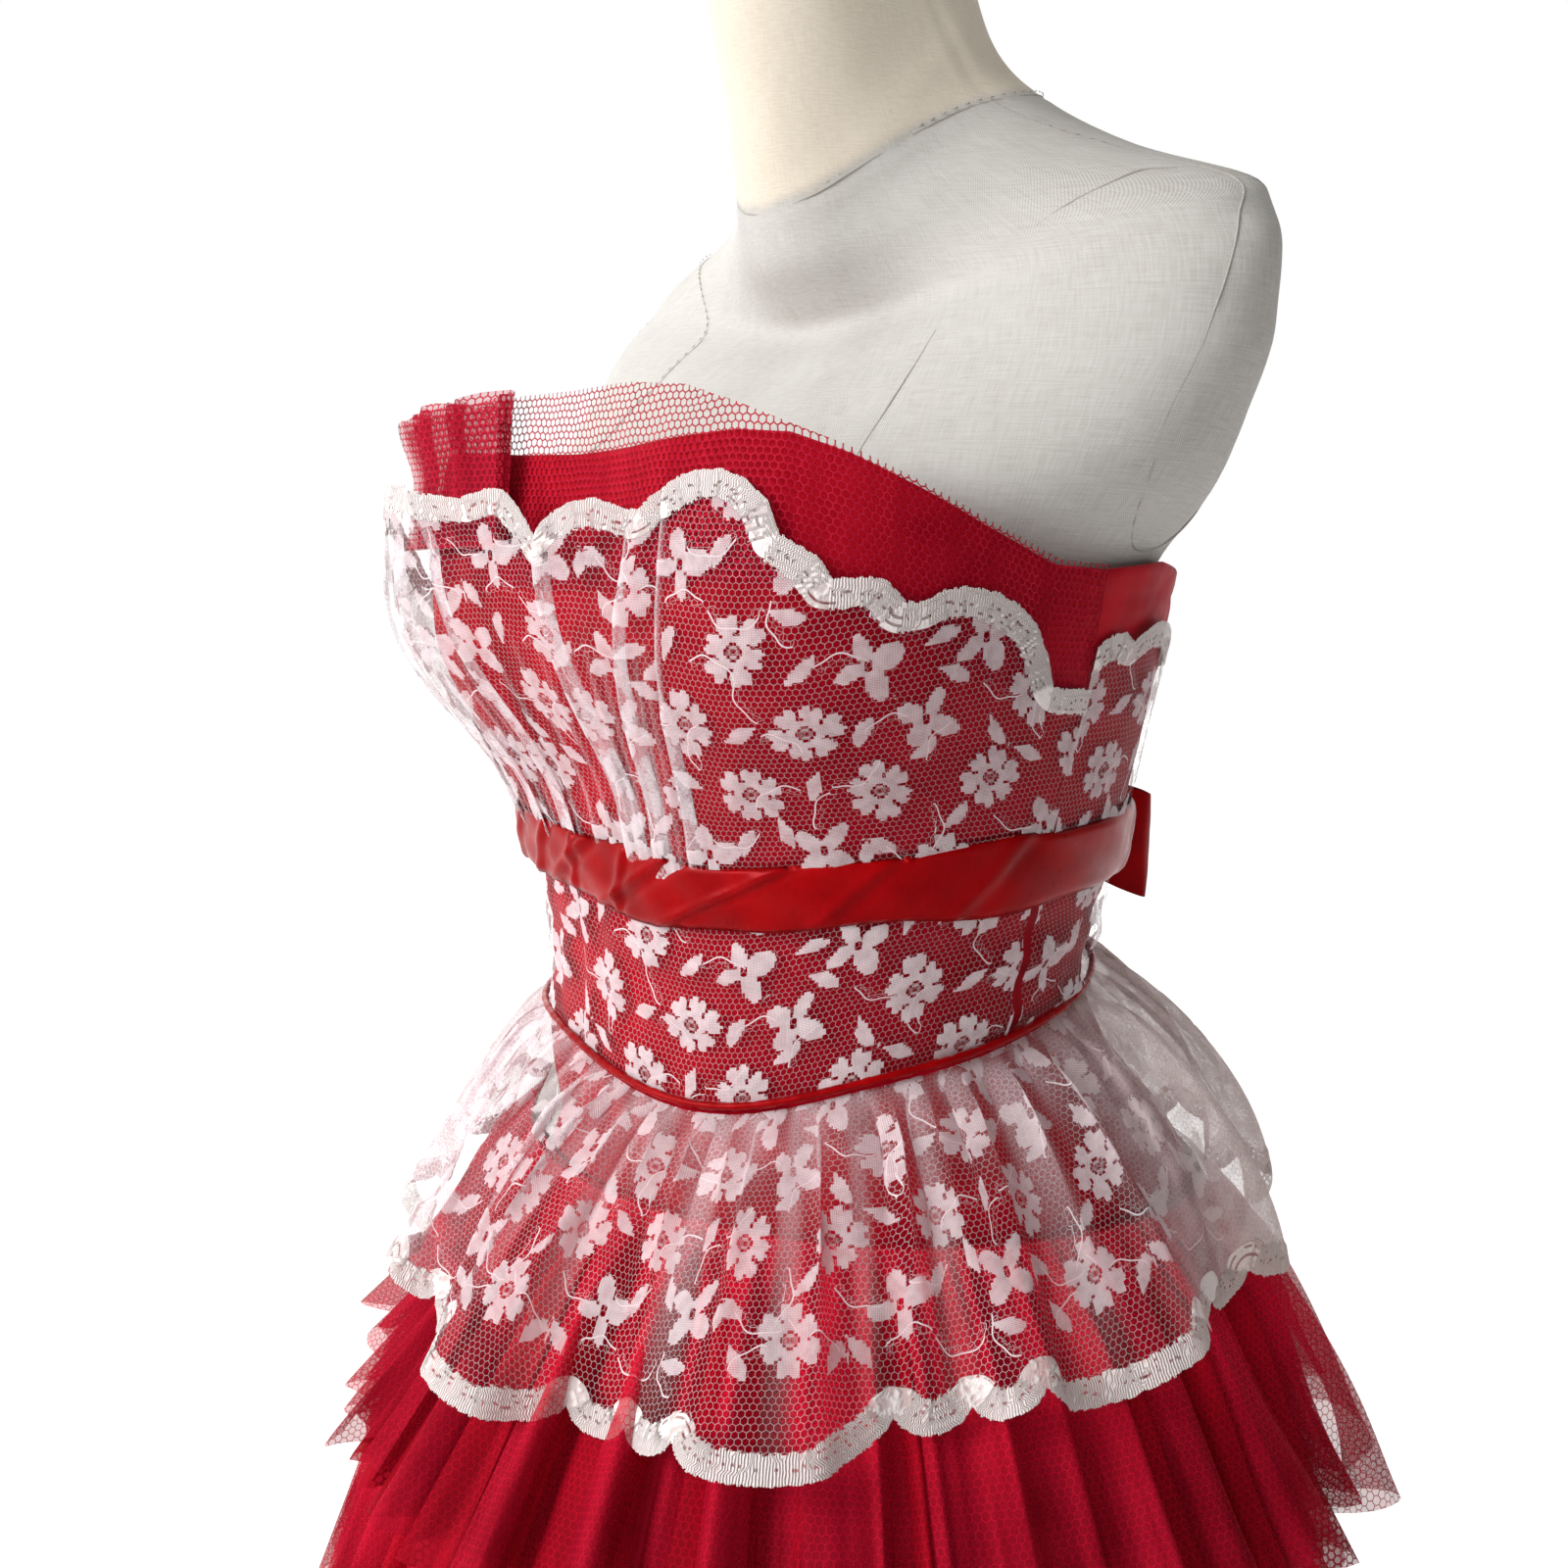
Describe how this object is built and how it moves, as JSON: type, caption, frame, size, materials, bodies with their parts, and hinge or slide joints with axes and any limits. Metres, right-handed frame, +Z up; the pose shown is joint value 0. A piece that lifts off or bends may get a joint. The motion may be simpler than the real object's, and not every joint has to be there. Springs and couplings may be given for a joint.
{
  "type": "prom dress on limbless dress form",
  "caption": "Strapless dress with lace over red satin, a ribbon sash, lace peplum and tiered net skirt, worn on a linen dress form with a stand",
  "frame": {"origin": "on the floor, under the centre of the whole object's box", "axes": "+Z up; the front of the dress faces -Y; the wearer's left is +X"},
  "size_m": [0.6116, 0.6, 1.495],
  "materials": {
    "linen": "plain woven linen with slubs",
    "pole_metal": "brushed steel",
    "base_metal": "satin black paint",
    "satin": "red satin",
    "ribbon": "glossy red satin ribbon",
    "lace": "white floral lace with a cream corded border",
    "net": "red hexagonal net",
    "lining": "red lining taffeta"
  },
  "bodies": {
    "root": {"form_body": "linen", "stand_pole": "pole_metal", "stand_base": "base_metal", "satin_front": "satin", "satin_back": "satin", "lace_bodice_front": "lace", "lace_bodice_back": "lace", "lace_midriff_front": "lace", "lace_midriff_back": "lace", "ribbon_sash": "ribbon", "waist_piping": "ribbon", "bow_loop_left": "ribbon", "bow_loop_right": "ribbon", "bow_knot": "ribbon", "net_frill": "net", "net_pleats": "net", "lace_peplum": "lace", "skirt_yoke": "lining", "skirt_middle": "lining", "skirt_lower": "lining", "net_tier_1": "net", "net_tier_2": "net", "net_tier_3": "net", "net_tier_4": "net", "net_tier_5": "net", "net_tier_6": "net", "net_tier_7": "net", "net_tier_8": "net"}
  },
  "joints": []
}
